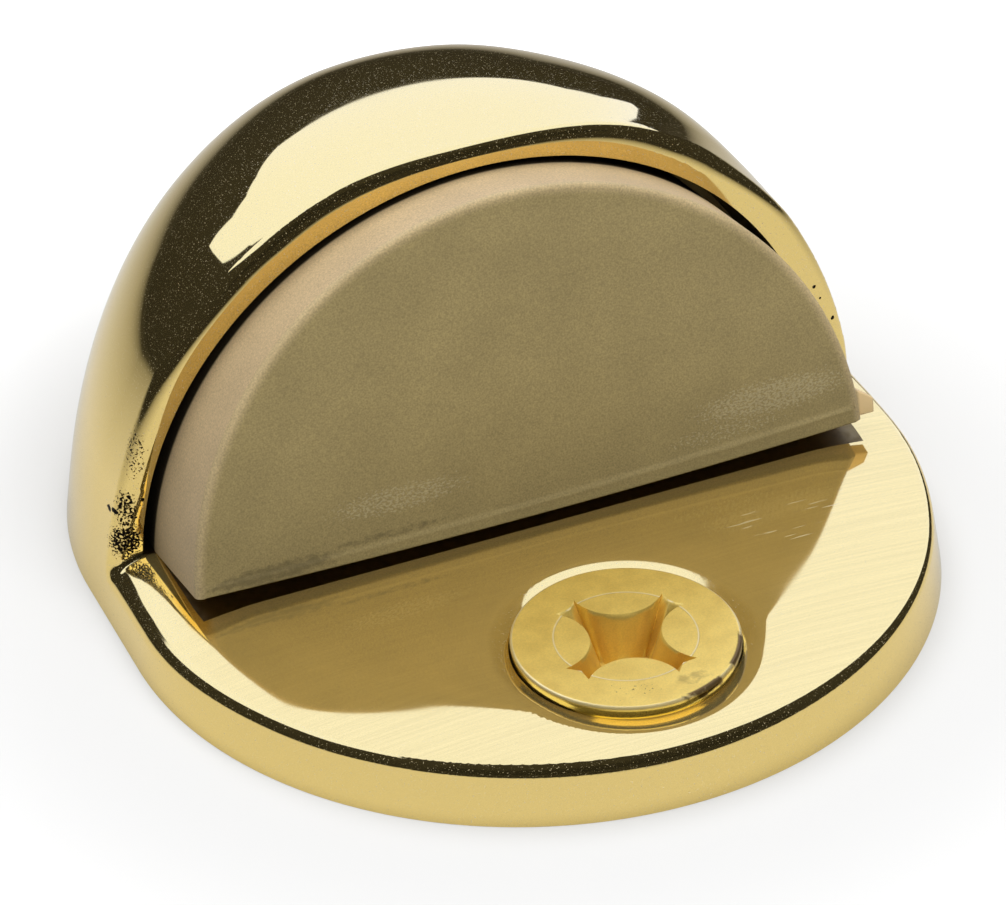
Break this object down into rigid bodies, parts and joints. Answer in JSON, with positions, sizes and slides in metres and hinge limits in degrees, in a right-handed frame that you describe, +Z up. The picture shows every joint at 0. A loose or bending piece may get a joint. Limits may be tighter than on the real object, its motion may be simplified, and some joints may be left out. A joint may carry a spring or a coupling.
{
  "type": "floor door stop",
  "caption": "Low dome floor door stop with a half-moon rubber bumper in its cut-away front and a countersunk fixing screw through the platform before it.",
  "frame": {"origin": "floor level, at the centre of the base's round front end", "axes": "+Z up from the floor, -Y out through the bumper's face towards the door, +X to the right seen from the door's side"},
  "size_m": [0.0476, 0.0561, 0.059],
  "materials": {
    "polished_brass": "mirror polished cast brass",
    "bumper_rubber": "matt moulded rubber, grey tan",
    "screw_brass": "yellow brass finish, slightly worn"
  },
  "bodies": {
    "root": {"stop_body": "polished_brass", "rubber_bumper": "bumper_rubber", "fixing_screw": "screw_brass"}
  },
  "joints": []
}
